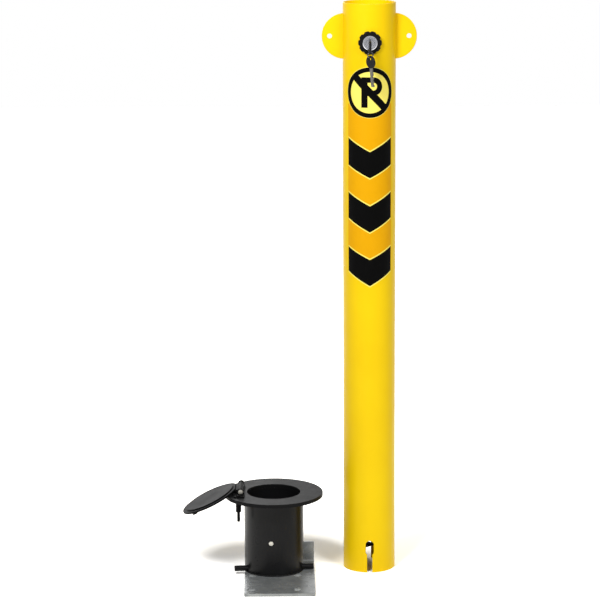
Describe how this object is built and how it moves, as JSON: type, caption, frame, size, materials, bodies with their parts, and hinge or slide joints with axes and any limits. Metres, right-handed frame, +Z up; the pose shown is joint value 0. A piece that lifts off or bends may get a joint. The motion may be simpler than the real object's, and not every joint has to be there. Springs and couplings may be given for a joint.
{
  "type": "removable bollard",
  "caption": "Yellow removable steel bollard with a key lock and side eye plates, standing beside its black lidded ground socket.",
  "frame": {"origin": "post's axis at the post's foot, level with the underside of the socket's foot bracket", "axes": "+Z up the post, -Y the front with the lock, -X towards the ground socket"},
  "size_m": [0.4013, 0.2289, 0.98],
  "materials": {
    "yellow_paint": "gloss",
    "black_plastic": "satin",
    "black_lock": "satin",
    "chrome": "polished",
    "zinc": "satin",
    "key_steel": "satin",
    "black_paint": "satin",
    "zinc_fasteners": "satin",
    "galvanised": "satin",
    "lid_grey": "satin"
  },
  "bodies": {
    "base": {"post_tube": "yellow_paint", "top_plate": "yellow_paint", "ear_left": "yellow_paint", "ear_right": "yellow_paint", "upper_guide": "zinc", "lower_guide": "zinc", "escutcheon": "black_lock", "lock_barrel": "chrome", "lock_nut": "zinc", "latch_pivot": "zinc", "latch_spacers": "zinc", "socket_tube": "black_paint", "socket_flange": "black_paint", "cross_pin": "zinc_fasteners", "anchor_rod": "black_paint", "foot_bracket": "galvanised", "hinge_bracket": "black_paint", "hinge_pin": "black_paint", "hinge_bolts": "black_paint", "hinge_nuts": "black_paint"},
    "key": {"lock_plug": "chrome", "key_blade": "key_steel", "key_bow": "black_plastic", "lock_cam": "zinc", "cam_screw": "zinc"},
    "rod": {"rod_yoke": "zinc", "lock_rod": "zinc", "rod_pin": "zinc"},
    "latch": {"latch_hook": "black_lock"},
    "ring": {"key_ring": "chrome"},
    "spare_key": {"spare_key_bow": "black_plastic", "spare_key_blade": "key_steel"},
    "lid": {"lid_plate": "lid_grey", "lid_arm": "black_paint", "lid_knob": "black_paint"}
  },
  "joints": [
    {"name": "key_turn", "type": "hinge", "parent": "base", "child": "key", "pos_m": [0, -0.051, 0.916], "axis": [0, 1, 0], "range_deg": [0, 90]},
    {"name": "rod_slide", "type": "slide", "parent": "base", "child": "rod", "axis": [0, 0, 1], "range_m": [-0.01414, 0]},
    {"name": "latch_swing", "type": "hinge", "parent": "base", "child": "latch", "pos_m": [-0.01785, 0, 0.072], "axis": [0, 1, 0], "range_deg": [0, 30]},
    {"name": "ring_swing", "type": "hinge", "parent": "key", "child": "ring", "pos_m": [0, -0.069, 0.9034], "axis": [0.9397, 0.342, 0], "range_deg": [-30, 10]},
    {"name": "spare_swing", "type": "hinge", "parent": "ring", "child": "spare_key", "pos_m": [0, -0.069, 0.8938], "axis": [0.9397, 0.342, 0], "range_deg": [-15, 8]},
    {"name": "lid_hinge", "type": "hinge", "parent": "base", "child": "lid", "pos_m": [-0.2215, -0.03, 0.1492], "axis": [0, 1, 0], "range_deg": [0, 205.59]}
  ],
  "couplings": [
    {"joint": "key_turn", "follows": "rod_slide", "rad_per_m": -111.07},
    {"joint": "latch_swing", "follows": "rod_slide", "rad_per_m": -37.024}
  ]
}
